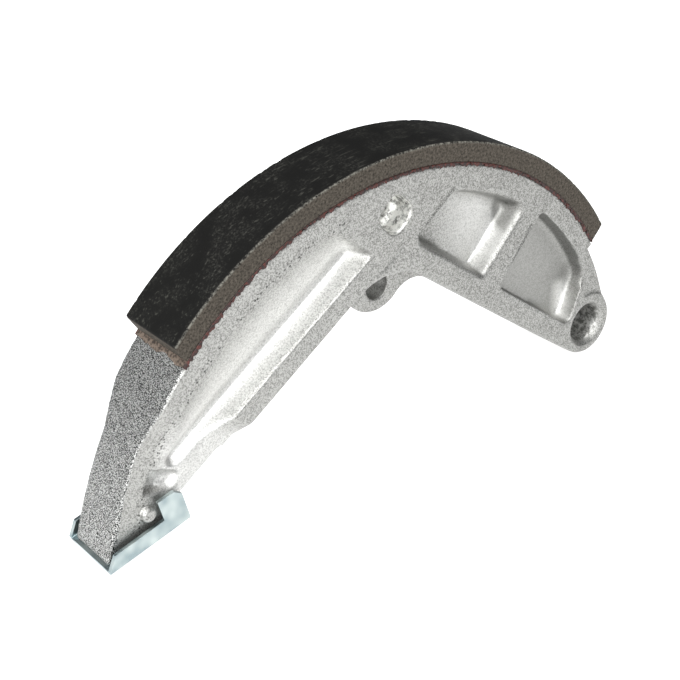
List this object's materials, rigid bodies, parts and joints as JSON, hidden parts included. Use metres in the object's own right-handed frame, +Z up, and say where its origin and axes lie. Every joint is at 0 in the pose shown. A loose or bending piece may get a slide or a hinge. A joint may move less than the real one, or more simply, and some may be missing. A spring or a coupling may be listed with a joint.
{
  "type": "brake shoe",
  "caption": "Cast alloy drum brake shoe with a bonded dark lining, ribbed web, pivot bore, spring eye and a folded steel clip on its cam end.",
  "frame": {"origin": "centre of the base that the shoe stands on, halfway along the chord, mid-width", "axes": "+X along the chord from the cam end to the pivot, Y along the drum's axis, +Z up from the base towards the lining"},
  "size_m": [0.127, 0.0152, 0.0606],
  "materials": {
    "cast_alloy": "as cast, blasted",
    "friction_composite": "moulded and ground, matte",
    "adhesive": "cured, ragged",
    "zinc_steel": "bright zinc plate"
  },
  "bodies": {
    "root": {"shoe_casting": "cast_alloy", "friction_lining": "friction_composite", "bond_film": "adhesive", "cam_clip": "zinc_steel"}
  },
  "joints": []
}
